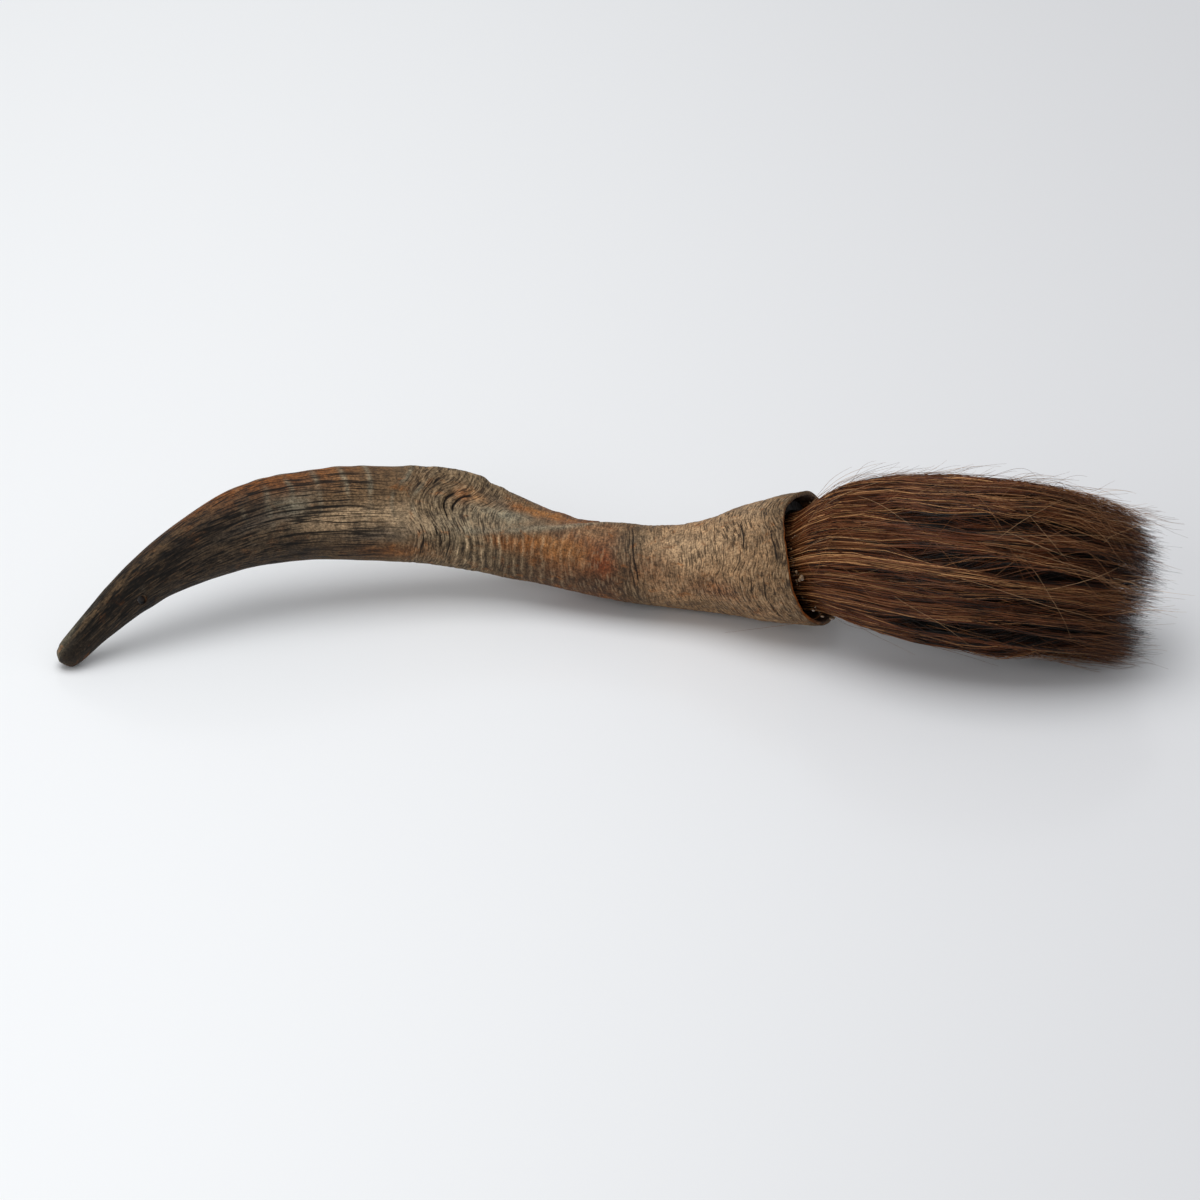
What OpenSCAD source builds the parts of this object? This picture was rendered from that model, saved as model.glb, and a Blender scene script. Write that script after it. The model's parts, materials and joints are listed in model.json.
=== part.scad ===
// Hair brush whose handle is one natural twisted horn.
// A tied hank of horsehair is glued into the horn's sawn mouth.
// The tip lies to -X, the hair to +X, and the brush lies at rest on z = 0.

/* [Horn] */
// Reach of the horn along X, from the middle of its tip to the middle of its mouth
horn_length = 224; // [186:1:270]
// Widest thickness of the horn, across its first bend
horn_girth = 30; // [25:0.5:36]
// Outside diameter of the sawn mouth
mouth_d = 40.8; // [38:0.2:49]
// Wall of the horn at the sawn lip
lip_wall = 1.6; // [1:0.1:2.4]
// Wall of the horn at the closed end of its cavity
deep_wall = 4; // [3:0.5:6]
// Depth of the natural cavity behind the mouth, along X
cavity_depth = 100; // [60:1:120]

/* [Hanging hole] */
// Diameter of the hole drilled through the tip
hole_d = 2.5; // [2:0.1:4]
// Distance of the hole from the middle of the tip, along X
hole_back = 18; // [14:0.5:26]
// Distance of the hole from the horn's middle line, towards the lower edge
hole_drop = 3; // [0:0.5:3.5]

/* [Hair] */
// Reach of the exposed hair along X, from the middle of the mouth to its longest end
hair_length = 97.5; // [81:0.5:117]
// Height of the tuft at its fullest
tuft_height = 53; // [44:1:64]
// Width of the tuft at its fullest
tuft_width = 50; // [42:1:60]
// Gap left between the hair and the horn at the lip
mouth_gap = 2; // [1.5:0.1:3]
// Gap between neighbouring locks of hair
lock_gap = 0.4; // [0.3:0.1:0.8]

/* [Hair root] */
// Diameter of the tied root of the hank
root_d = 21; // [17:0.5:23]
// Depth of the root behind the mouth
root_depth = 24; // [20:0.5:28]
// Bare root left on each side of the binding
bound_margin = 2; // [1:0.5:3]
// Thickness of the binding thread
thread_d = 1; // [0.6:0.1:1.4]
// Turns of binding thread
thread_turns = 7; // [4:1:8]
// Thickness of the rosin cap that seals the root
rosin_cap = 3; // [2:0.5:4]
// Clearance between parts that are glued together
glue_line = 0.1; // [0.05:0.05:0.2]

/* [Glue] */
// Depth of the glue bed's front behind the mouth
bed_front = 5; // [4:0.5:8]
// Thickness of the glue bed behind the rosin cap
bed_back = 10; // [6:1:14]
// Dried glue beads along the lip
bead_count = 11; // [6:1:16]

/* [Flex] */
// Distance of the bending axis in front of the mouth
flex_out = 6; // [5:0.5:9]
// Lead of the round face between the fixed root and the swinging hair over the mouth's radius
flex_lead = 1.6; // [1.6:0.1:4]
// Clearance across that round face
flex_gap = 0.4; // [0.3:0.1:0.8]

/* [Hidden] */

// Horn stations from tip to mouth at the nominal length and girth: middle point x, y, z, half
// width along the keel, half width across it, the keel's angle, its strength and the share of
// the round mouth. The angle is 0 where the keel points along RING_UP and grows towards -Y.
NOMINAL_LENGTH = 224;
NOMINAL_GIRTH = 30;
STATIONS = [
    [-3.6, -2.5, 2.6, 1.0, 0.9, 46, 0, 0],
    [-2.6, -1.8, 3.2, 3.3, 3.0, 45, 0, 0],
    [0, 0, 4.7, 4.7, 4.2, 44, 0, 0],
    [8, 5.8, 11, 5.7, 4.8, 41, 0.02, 0],
    [20, 14, 19, 8.1, 6.4, 37, 0.03, 0],
    [37, 25, 25.7, 10.9, 8.7, 30, 0.05, 0],
    [56, 35, 28.6, 13.2, 10.6, 22, 0.06, 0],
    [75, 41, 28, 14.1, 11.2, 13, 0.06, 0],
    [93, 45, 25.8, 14.4, 11.3, 5, 0.06, 0],
    [111, 47.5, 23, 14.8, 11.3, -6, 0.07, 0],
    [126, 47, 19.8, 13.9, 10.7, -32, 0.08, 0],
    [140, 44.8, 17, 14, 10.6, -62, 0.07, 0],
    [155, 40.6, 14.4, 14.2, 10.8, -89, 0.06, 0],
    [170, 36.6, 13.6, 14.6, 11.4, -106, 0.05, 0],
    [184, 33.6, 14.4, 15, 12.2, -119, 0.04, 0],
    [197, 30.6, 16.6, 15.8, 13.6, -131, 0.03, 0.1],
    [208, 27.6, 19.8, 16.2, 15.2, -141, 0.02, 0.5],
    [224, 22.5, 24, 17, 17, -152, 0, 1]
];
RING_UP = [0, 0.5, 0.866];
STEPS = 3;
SIDES = 40;

// Hair stations from the mouth to the longest end, as distance from the mouth along X, y, z,
// and how far the tuft has spread: 0 is the bundle in the mouth and 1 the fullest section.
HAIR_STATIONS = [
    [-6, 24.5, 22.4, 0],
    [0, 22.5, 24, 0.08],
    [9, 18.6, 27.8, 0.37],
    [18, 14.6, 30.4, 0.62],
    [28, 10.6, 31.6, 0.81],
    [42, 6.2, 32.4, 0.96],
    [56, 4, 32, 1],
    [70, 4, 30, 0.97],
    [82, 6, 26.2, 0.84],
    [91, 8, 22.8, 0.7],
    [99, 9.5, 20.2, 0.48]
];
HAIR_REACH = 99;
// Each lock's lower and upper edge as shares of the half height, and its share of the length.
UPPER_LOCK = [0.14, 1, 0.93];
MIDDLE_LOCK = [-0.45, 0.14, 1];
LOWER_LOCK = [-1, -0.45, 0.985];
LOCK_ARC = 8;
LOCK_CHORD = 4;
LOCK_STEPS = 2;
ROUND_EDGE = 0.998;

// Angles of the dried glue beads round the lip, from its top towards -Y.
BEAD_SPREAD = 250;
BEAD_START = 70;

mouth_r = mouth_d / 2;
reach = horn_length / NOMINAL_LENGTH;
stout = horn_girth / NOMINAL_GIRTH;
last = len(STATIONS) - 1;
hair_last = len(HAIR_STATIONS) - 1;

function unit(v) = v / norm(v);
function mix(a, b, t) = a * (1 - t) + b * t;
function clamp01(t) = min(1, max(0, t));
function ease(t) = let (c = clamp01(t)) c * c * (3 - 2 * c);
function xyz(row) = [row[0], row[1], row[2]];

// Smooth curve through a table's rows; u counts rows from the first.
function through(rows, u) = let (
    n = len(rows) - 1,
    i = min(n - 1, max(0, floor(u))),
    t = u - i,
    a = rows[max(0, i - 1)],
    b = rows[i],
    c = rows[i + 1],
    d = rows[min(n, i + 2)]
) 0.5 * (2 * b + (c - a) * t + (2 * a - 5 * b + 4 * c - d) * t * t + (3 * b - a - 3 * c + d) * t * t * t);

// The row number at which a rising first column reaches a value.
function row_at(rows, value, lo, hi, tries = 30) = let (mid = (lo + hi) / 2)
    tries == 0 ? mid
    : through(rows, mid)[0] < value ? row_at(rows, value, mid, hi, tries - 1)
    : row_at(rows, value, lo, mid, tries - 1);

// Horn: middle line, local axes and outline.
function horn_mid(u) = reach * xyz(through(STATIONS, u));
function horn_along(u) = unit(horn_mid(min(last, u + 0.05)) - horn_mid(max(0, u - 0.05)));
function horn_up(u) = let (t = horn_along(u)) unit(RING_UP - (RING_UP * t) * t);
function horn_front(u) = cross(horn_along(u), horn_up(u));
function keeled_r(wide, thin, angle, keel) =
    (1 + keel * cos(3 * angle)) / norm([cos(angle) / wide, sin(angle) / thin]);
function horn_r(u, angle) = let (s = through(STATIONS, u))
    mix(keeled_r(s[3] * stout, s[4] * stout, angle - s[5], s[6]), mouth_r, clamp01(s[7]));
function horn_ring(u, inset, shrink = 1) = [
    for (k = [0 : SIDES - 1])
        let (angle = 360 * k / SIDES, r = (horn_r(u, angle) - inset) * shrink)
        horn_mid(u) + r * (cos(angle) * horn_up(u) + sin(angle) * horn_front(u))
];

// Cavity: its wall grows from the lip inwards and it closes in a rounded end.
cavity_u = row_at(STATIONS, (horn_length - cavity_depth) / reach, 6, last);
CAVITY_RINGS = 26;
CLOSING_SHARE = 0.5;
function cavity_wall(q) = mix(lip_wall, deep_wall, q);
function cavity_shrink(q) = cos(84 * clamp01((q - CLOSING_SHARE) / (1 - CLOSING_SHARE)));
function cavity_ring(q, clearance) =
    horn_ring(mix(last, cavity_u, q), cavity_wall(q) + clearance, cavity_shrink(q));

// Mouth frame: the middle of the mouth, the way it faces and the hair's root line.
mouth = horn_mid(last);
facing = horn_along(last);
mouth_up = horn_up(last);
mouth_front = horn_front(last);
hair_mouth_r = mouth_r - lip_wall - mouth_gap;
root_r = root_d / 2;
flex_point = mouth + flex_out * facing;
flex_r = mouth_r + flex_lead;

// Hair: middle line, local axes and the outline of one lock.
hair_reach = hair_length / HAIR_REACH;
hair_shift = mouth - xyz(HAIR_STATIONS[1]);
function hair_mid(u) = let (s = through(HAIR_STATIONS, u)) hair_shift + [s[0] * hair_reach, s[1], s[2]];
function hair_along(u) = unit(hair_mid(min(hair_last, u + 0.05)) - hair_mid(max(0, u - 0.05)));
function hair_up(u) = let (t = hair_along(u)) unit([0, 0, 1] - t[2] * t);
function hair_side(u) = cross(hair_up(u), hair_along(u));
function lock_outline(low, high) = let (from = asin(low), to = asin(high)) [
    for (k = [0 : LOCK_ARC]) let (angle = mix(from, to, k / LOCK_ARC)) [sin(angle), cos(angle)],
    for (k = [1 : LOCK_CHORD - 1]) [high, cos(to) * (1 - 2 * k / LOCK_CHORD)],
    for (k = [0 : LOCK_ARC]) let (angle = mix(to, from, k / LOCK_ARC)) [sin(angle), -cos(angle)],
    for (k = [1 : LOCK_CHORD - 1]) [low, -cos(from) * (1 - 2 * k / LOCK_CHORD)]
];
function lock_ring(u, low, high) = let (
    spread = through(HAIR_STATIONS, u)[3],
    half_h = mix(hair_mouth_r, tuft_height / 2, spread),
    half_w = mix(hair_mouth_r, tuft_width / 2, spread),
    lo = max(-ROUND_EDGE, low + lock_gap / 2 / half_h),
    hi = min(ROUND_EDGE, high - lock_gap / 2 / half_h)
) [
    for (p = lock_outline(lo, hi)) hair_mid(u) + p[0] * half_h * hair_up(u) + p[1] * half_w * hair_side(u)
];
function lock_rings(lock) = let (
    end = row_at(HAIR_STATIONS, lock[2] * HAIR_REACH, 0, hair_last),
    steps = [for (i = [0 : hair_last * LOCK_STEPS]) if (i / LOCK_STEPS < end - 0.1) i / LOCK_STEPS]
) [
    for (u = concat(steps, [end])) lock_ring(u, lock[0], lock[1])
];

// The rings of the whole brush give its box, and the box gives the origin.
horn_rings = [for (i = [0 : last * STEPS]) horn_ring(i / STEPS, 0)];
all_points = [
    for (ring = horn_rings) each ring,
    for (lock = [UPPER_LOCK, MIDDLE_LOCK, LOWER_LOCK]) for (ring = lock_rings(lock)) each ring
];
function lowest(axis) = min([for (p = all_points) p[axis]]);
function highest(axis) = max([for (p = all_points) p[axis]]);
origin = [(lowest(0) + highest(0)) / 2, (lowest(1) + highest(1)) / 2, lowest(2)];

// One closed skin over a list of equal rings.
module loft(rings) {
    sides = len(rings[0]);
    points = [for (ring = rings) each ring];
    count = len(rings);
    skin = [
        for (i = [0 : count - 2]) for (k = [0 : sides - 1])
            let (a = i * sides + k, b = i * sides + (k + 1) % sides)
            each [[a, b + sides, b], [a, a + sides, b + sides]]
    ];
    first_cap = [for (k = [1 : sides - 2]) [0, k, k + 1]];
    base = (count - 1) * sides;
    last_cap = [for (k = [1 : sides - 2]) [base, base + k + 1, base + k]];
    polyhedron(points, concat(skin, first_cap, last_cap), convexity = 6);
}

module place() {
    translate(-origin) children();
}

// Turns children so that their z runs out of the mouth and their x points up.
module at_mouth() {
    x = mouth_up;
    y = mouth_front;
    z = facing;
    multmatrix([
        [x[0], y[0], z[0], mouth[0]],
        [x[1], y[1], z[1], mouth[1]],
        [x[2], y[2], z[2], mouth[2]],
        [0, 0, 0, 1]
    ]) children();
}

module flex_cylinder(r) {
    tall = 3 * tuft_height;
    translate([flex_point[0], flex_point[1], flex_point[2] - tall / 2])
        cylinder(r = r, h = tall, $fn = 96);
}

// Solid at the tip and hollow behind the mouth, drilled through near the tip.
module horn() {
    hollow = [for (i = [0 : CAVITY_RINGS]) cavity_ring(i / CAVITY_RINGS, 0)];
    u = row_at(STATIONS, hole_back / reach, 1, 8);
    hole = horn_mid(u) - hole_drop * horn_up(u);
    tilt = horn_front(u);
    color([0.42, 0.34, 0.24]) place() difference() {
        loft(concat(horn_rings, hollow));
        translate(hole)
            rotate([0, acos(tilt[2]), atan2(tilt[1], tilt[0])])
                cylinder(d = hole_d, h = horn_girth, center = true, $fn = 48);
    }
}

// Root line of the hank: radius at a height z out of the mouth.
thread_pitch = thread_d + glue_line / 2;
bound_top = -root_depth + 2 * bound_margin + thread_turns * thread_pitch;
FULL_SHARE = 0.9;
FLARE_STEPS = 12;
function root_line(z) = z <= 0
    ? mix(root_r, hair_mouth_r, ease((z - bound_top) / (-1 - bound_top)))
    : mix(hair_mouth_r, FULL_SHARE * tuft_height / 2, sin(90 * min(1, z / (flex_out + flex_r))));
inner_heights = [for (i = [0 : FLARE_STEPS]) mix(bound_top, 0, i / FLARE_STEPS)];
function dome(r, depth, clearance) = [
    for (i = [0 : 8]) let (angle = 90 - 90 * i / 8)
        [(r + clearance) * cos(angle), -root_depth - (depth + clearance) * sin(angle)]
];

// Hair from the rosin to the round face where the free hair begins.
module hair_root() {
    top = flex_out + flex_r + 4;
    outer_heights = [for (i = [1 : FLARE_STEPS]) top * i / FLARE_STEPS];
    line = [for (z = concat(inner_heights, outer_heights)) [root_line(z), z]];
    color([0.3, 0.17, 0.09]) place() intersection() {
        at_mouth() rotate_extrude($fn = 72)
            polygon(concat([[0, -root_depth], [root_r, -root_depth]], line, [[0, top]]));
        union() {
            flex_cylinder(flex_r);
            at_mouth() translate([0, 0, flex_out - top]) cube([4 * mouth_r, 4 * mouth_r, 2 * top], center = true);
        }
    }
}

// Cast rosin cap over the cut ends of the root.
module rosin_seal() {
    color([0.55, 0.33, 0.1]) place() at_mouth() rotate_extrude($fn = 72)
        polygon(concat([[0, -root_depth]], dome(root_r, rosin_cap, 0)));
}

// Turns of thread that tie the root.
module root_binding() {
    first = -root_depth + bound_margin + thread_d / 2;
    color([0.78, 0.72, 0.58]) place() at_mouth()
        for (i = [0 : thread_turns - 1])
            translate([0, 0, first + i * thread_pitch])
                rotate_extrude($fn = 72)
                    translate([root_r + (thread_d + glue_line) / 2, 0]) circle(d = thread_d, $fn = 24);
}

// Glue that fills the cavity round and behind the root.
module glue_bed() {
    front_u = row_at(STATIONS, (horn_length - bed_front * facing[0]) / reach, 6, last);
    deep = root_depth + rosin_cap + bed_back;
    deep_u = row_at(STATIONS, (horn_length - deep * facing[0]) / reach, 6, last);
    rings = 10;
    function depth_share(u) = (last - u) / (last - cavity_u);
    socket_r = root_r + thread_d + glue_line;
    clear_of_horn = [
        for (i = [0 : rings]) cavity_ring(depth_share(mix(deep_u, front_u, i / rings)), glue_line)
    ];
    socket = [for (z = inner_heights) [max(socket_r, root_line(z) + glue_line), z]];
    color([0.16, 0.11, 0.07]) place() difference() {
        loft(clear_of_horn);
        at_mouth() rotate_extrude($fn = 72) polygon(concat(
            dome(root_r, rosin_cap, glue_line),
            [[socket_r, -root_depth]],
            socket,
            [[0, bed_front]]
        ));
    }
}

// Clear dried beads in the gap between the lip and the hair.
module glue_beads() {
    bead_r = mouth_gap / 2 - 2 * glue_line;
    color([0.85, 0.83, 0.74]) place() at_mouth()
        for (i = [0 : bead_count - 1])
            rotate([0, 0, BEAD_START + BEAD_SPREAD * i / bead_count])
                translate([hair_mouth_r + mouth_gap / 2, 0, -bead_r])
                    sphere(r = bead_r, $fn = 24);
}

// Free hair: three locks that swing together about the bending axis.
module lock(share, tint) {
    color(tint) place() difference() {
        loft(lock_rings(share));
        flex_cylinder(flex_r + flex_gap);
    }
}

module hair_upper_lock() {
    lock(UPPER_LOCK, [0.47, 0.29, 0.15]);
}

module hair_middle_lock() {
    lock(MIDDLE_LOCK, [0.36, 0.2, 0.1]);
}

module hair_lower_lock() {
    lock(LOWER_LOCK, [0.4, 0.24, 0.13]);
}

horn();
glue_bed();
rosin_seal();
hair_root();
root_binding();
glue_beads();
hair_upper_lock();
hair_middle_lock();
hair_lower_lock();
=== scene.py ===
import json
import math

import bmesh
import bpy
import numpy as np
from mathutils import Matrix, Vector


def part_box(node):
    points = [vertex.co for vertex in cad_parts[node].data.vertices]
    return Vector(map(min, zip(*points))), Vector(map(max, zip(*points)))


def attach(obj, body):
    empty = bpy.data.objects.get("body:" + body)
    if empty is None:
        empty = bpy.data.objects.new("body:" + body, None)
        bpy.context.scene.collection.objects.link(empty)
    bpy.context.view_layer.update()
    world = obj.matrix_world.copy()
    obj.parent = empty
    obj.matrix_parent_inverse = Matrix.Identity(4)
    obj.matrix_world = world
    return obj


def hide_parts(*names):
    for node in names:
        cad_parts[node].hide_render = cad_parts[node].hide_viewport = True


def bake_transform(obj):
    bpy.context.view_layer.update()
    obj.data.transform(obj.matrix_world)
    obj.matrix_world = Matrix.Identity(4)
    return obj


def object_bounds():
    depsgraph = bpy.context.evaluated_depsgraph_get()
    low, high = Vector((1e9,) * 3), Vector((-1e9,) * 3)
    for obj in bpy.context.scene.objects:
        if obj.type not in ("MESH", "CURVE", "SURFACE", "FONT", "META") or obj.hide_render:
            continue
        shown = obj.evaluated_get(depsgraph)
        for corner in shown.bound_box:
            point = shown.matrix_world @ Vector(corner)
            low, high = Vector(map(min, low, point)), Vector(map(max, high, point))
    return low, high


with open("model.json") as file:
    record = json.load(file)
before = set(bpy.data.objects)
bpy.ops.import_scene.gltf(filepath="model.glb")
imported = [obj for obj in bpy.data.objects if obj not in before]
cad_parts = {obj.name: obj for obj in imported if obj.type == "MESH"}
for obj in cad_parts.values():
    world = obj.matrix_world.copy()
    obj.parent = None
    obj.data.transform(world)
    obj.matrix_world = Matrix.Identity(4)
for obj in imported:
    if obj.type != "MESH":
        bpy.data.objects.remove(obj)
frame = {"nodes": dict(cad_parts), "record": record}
CAD_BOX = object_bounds()

# Tables repeated from part.scad, in millimetres in its own frame.
# Horn: middle x, y, z, half width along the keel and across it, keel angle, keel strength,
# share of the round mouth. Angles run from RING_UP (0) towards the front, -Y (90).
STATIONS = [
    [-3.6, -2.5, 2.6, 1.0, 0.9, 46, 0, 0],
    [-2.6, -1.8, 3.2, 3.3, 3.0, 45, 0, 0],
    [0, 0, 4.7, 4.7, 4.2, 44, 0, 0],
    [8, 5.8, 11, 5.7, 4.8, 41, 0.02, 0],
    [20, 14, 19, 8.1, 6.4, 37, 0.03, 0],
    [37, 25, 25.7, 10.9, 8.7, 30, 0.05, 0],
    [56, 35, 28.6, 13.2, 10.6, 22, 0.06, 0],
    [75, 41, 28, 14.1, 11.2, 13, 0.06, 0],
    [93, 45, 25.8, 14.4, 11.3, 5, 0.06, 0],
    [111, 47.5, 23, 14.8, 11.3, -6, 0.07, 0],
    [126, 47, 19.8, 13.9, 10.7, -32, 0.08, 0],
    [140, 44.8, 17, 14, 10.6, -62, 0.07, 0],
    [155, 40.6, 14.4, 14.2, 10.8, -89, 0.06, 0],
    [170, 36.6, 13.6, 14.6, 11.4, -106, 0.05, 0],
    [184, 33.6, 14.4, 15, 12.2, -119, 0.04, 0],
    [197, 30.6, 16.6, 15.8, 13.6, -131, 0.03, 0.1],
    [208, 27.6, 19.8, 16.2, 15.2, -141, 0.02, 0.5],
    [224, 22.5, 24, 17, 17, -152, 0, 1],
]
RING_UP = np.array([0, 0.5, 0.866])
MOUTH_X = STATIONS[-1][0]
MOUTH_R = 20.4
LIP_WALL = 1.6
DEEP_WALL = 4
CAVITY_DEPTH = 100

# Hair: distance out of the mouth, y, z and how far the tuft has spread.
HAIR_STATIONS = [
    [-6, 24.5, 22.4, 0],
    [0, 22.5, 24, 0.08],
    [9, 18.6, 27.8, 0.37],
    [18, 14.6, 30.4, 0.62],
    [28, 10.6, 31.6, 0.81],
    [42, 6.2, 32.4, 0.96],
    [56, 4, 32, 1],
    [70, 4, 30, 0.97],
    [82, 6, 26.2, 0.84],
    [91, 8, 22.8, 0.7],
    [99, 9.5, 20.2, 0.48],
]
HAIR_REACH = 99
HAIR_LENGTH = 97.5
ROOT_HAIR_R = 10.4
MOUTH_HAIR_R = 16.8
TUFT_HALF_H = 26.5
TUFT_HALF_W = 25


def unit(v):
    return v / np.linalg.norm(v, axis=-1, keepdims=True)


def mix(a, b, t):
    return a * (1 - t) + b * t


def ease(low, high, x):
    t = np.clip((np.asarray(x, float) - low) / (high - low), 0, 1)
    return t * t * (3 - 2 * t)


def zone(start, full, fading, end, x):
    """Rises to 1 between start and full, and falls back to 0 between fading and end."""
    return ease(start, full, x) * (1 - ease(fading, end, x))


def hump(x, middle, width):
    return np.exp(-(((x - middle) / width) ** 2))


def turn_gap(a, b):
    return (a - b + 180) % 360 - 180


def through(rows, u):
    """The smooth curve through a table's rows, as part.scad draws it."""
    rows = np.asarray(rows, float)
    n = len(rows) - 1
    u = np.atleast_1d(u).astype(float)
    i = np.clip(np.floor(u).astype(int), 0, n - 1)
    t = (u - i)[:, None]
    a, b = rows[np.maximum(0, i - 1)], rows[i]
    c, d = rows[i + 1], rows[np.minimum(n, i + 2)]
    return 0.5 * (2 * b + (c - a) * t + (2 * a - 5 * b + 4 * c - d) * t**2 + (3 * b - a - 3 * c + d) * t**3)


LATTICE = np.random.default_rng(11).random((32, 32, 32))


def noise(p, size, seed=0):
    """Smooth noise from -1 to 1 at points p, with bumps about `size` across."""
    q = p / np.asarray(size, float) + seed * 7.31
    i = np.floor(q).astype(int)
    f = q - i
    f = f * f * (3 - 2 * f)
    total = 0
    for corner in range(8):
        step = [corner & 1, corner >> 1 & 1, corner >> 2 & 1]
        weight = 1
        for axis in range(3):
            weight = weight * (f[..., axis] if step[axis] else 1 - f[..., axis])
        cell = [(i[..., axis] + step[axis]) % 32 for axis in range(3)]
        total = total + weight * LATTICE[cell[0], cell[1], cell[2]]
    return total * 2 - 1


def around(points, angles, blur=7):
    """Value at each angle from listed (angle, value) points round the section, softened."""
    degrees = np.arange(360)
    line = np.interp(degrees, [p[0] for p in points], [p[1] for p in points], period=360)
    kernel = hump(turn_gap(degrees, 0), 0, blur)
    soft = np.real(np.fft.ifft(np.fft.fft(line) * np.fft.fft(kernel))) / kernel.sum()
    return np.interp(angles, degrees, soft, period=360)


def along_line(points, x):
    return np.interp(x, [p[0] for p in points], [p[1] for p in points])


# ---- horn frame
LAST = len(STATIONS) - 1


def horn_axes(u):
    """Middle point, direction, up and front of the section at each row number u."""
    mid = through(STATIONS, u)[:, :3]
    ahead = through(STATIONS, np.minimum(LAST, u + 0.05))[:, :3]
    behind = through(STATIONS, np.maximum(0, u - 0.05))[:, :3]
    run = unit(ahead - behind)
    up = unit(RING_UP - (run @ RING_UP)[:, None] * run)
    return mid, run, up, np.cross(run, up)


def horn_radius(u, degrees):
    s = through(STATIONS, u)
    angle = np.radians(degrees[None, :] - s[:, 5:6])
    flatness = np.hypot(np.cos(angle) / s[:, 3:4], np.sin(angle) / s[:, 4:5])
    keeled = (1 + s[:, 6:7] * np.cos(3 * angle)) / flatness
    return mix(keeled, MOUTH_R, np.clip(s[:, 7:8], 0, 1))


def ring_points(axes, degrees, radius):
    mid, _, up, front = axes
    c, s = np.cos(np.radians(degrees)), np.sin(np.radians(degrees))
    spoke = c[None, :, None] * up[:, None, :] + s[None, :, None] * front[:, None, :]
    return mid[:, None, :] + radius[..., None] * spoke


# part.scad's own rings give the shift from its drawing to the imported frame.
cad_u = np.arange(LAST * 3 + 1) / 3
cad_degrees = np.arange(40) * 9.0
cad_rings = ring_points(horn_axes(cad_u), cad_degrees, horn_radius(cad_u, cad_degrees))
SHIFT = np.array(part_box("horn")[0]) * 1000 - cad_rings.reshape(-1, 3).min(axis=0)


def metres(points):
    return (np.asarray(points) + SHIFT) / 1000


def mesh_piece(name, points, faces, smooth=True):
    """One mesh object from points in millimetres of part.scad's frame."""
    mesh = bpy.data.meshes.new(name)
    mesh.from_pydata(metres(points).tolist(), [], faces)
    mesh.validate()
    if smooth:
        mesh.shade_smooth()
    piece = bpy.data.objects.new(name, mesh)
    bpy.context.scene.collection.objects.link(piece)
    return piece


def put_values(piece, name, values):
    """Stores one number, vector or colour per point for the material to read."""
    values = np.asarray(values, np.float32)
    kind, key = ("FLOAT", "value") if values.ndim == 1 else ("FLOAT_VECTOR", "vector")
    piece.data.attributes.new(name, kind, "POINT").data.foreach_set(key, values.ravel())


def tube_faces(rings, sides, start=0):
    """Quads between rings of equal size, one ring after another."""
    i = np.arange(rings - 1)[:, None] * sides + start
    k = np.arange(sides)[None, :]
    n = (k + 1) % sides
    return np.stack([i + k, i + n, i + n + sides, i + k + sides], axis=-1).reshape(-1, 4)


def cap_faces(rings, sides, start=0):
    """One flat face on a tube's first ring and one on its last."""
    first = start + np.arange(sides)
    return [first[::-1].tolist(), (first + (rings - 1) * sides).tolist()]


def fan_faces(rings, sides):
    """Triangles from a tube's two end rings to the two points stored after its rings."""
    faces = []
    last = (rings - 1) * sides
    for k in range(sides):
        n = (k + 1) % sides
        faces.append([rings * sides, n, k])
        faces.append([rings * sides + 1, last + k, last + n])
    return faces


def with_ends(rows):
    """Flattens rings of values, then repeats the first and last for the two end points."""
    flat = rows.reshape((-1,) + rows.shape[2:])
    return np.concatenate([flat, flat[:1], flat[-1:]])


def lay_map(piece, spots):
    """Stores a flat map named OFBake: one spot per face corner."""
    flat = piece.data.uv_layers.new(name="OFBake")
    flat.data.foreach_set("uv", np.asarray(spots, np.float32).ravel())


def colour(name_or_rgb):
    """Linear colour from a palette name or three 0-255 display values."""
    rgb = PALETTE[name_or_rgb] if isinstance(name_or_rgb, str) else name_or_rgb
    c = np.asarray(rgb, float) / 255
    return np.where(c <= 0.04045, c / 12.92, ((c + 0.055) / 1.055) ** 2.4)


PALETTE = {
    "soot": (30, 24, 18),
    "umber": (62, 50, 38),
    "bark": (104, 82, 58),
    "olive": (116, 98, 74),
    "tan": (156, 122, 88),
    "pale": (186, 158, 124),
    "rust": (142, 84, 36),
    "brick": (112, 54, 26),
    "russet": (108, 70, 44),
    "ash": (140, 133, 113),
    "slate": (76, 72, 68),
    "honey": (168, 112, 56),
    "dust": (88, 78, 66),
    "pale_rib_crest": (208, 180, 142),
    "tip_crest": (98, 76, 52),
    "black_groove": (16, 12, 9),
    "black_slit": (12, 9, 7),
    "crack": (20, 15, 12),
    "line_groove": (42, 31, 22),
    "line_thread": (48, 36, 26),
    "line_light": (196, 166, 130),
    "fibre_light": (122, 96, 68),
    "worn_lip": (112, 88, 64),
    "fresh_lip": (158, 88, 36),
    "inner_edge": (84, 56, 34),
    "mouth_wall": (84, 60, 40),
    "mouth_painted_shade": (14, 10, 7),
    "hole_painted_shade": (7, 5, 4),
}

# ---- horn skin
SIDES = 128
TIP_STEP = 0.62
FINE_STEP = 0.345
FINE_FROM = 92

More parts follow.
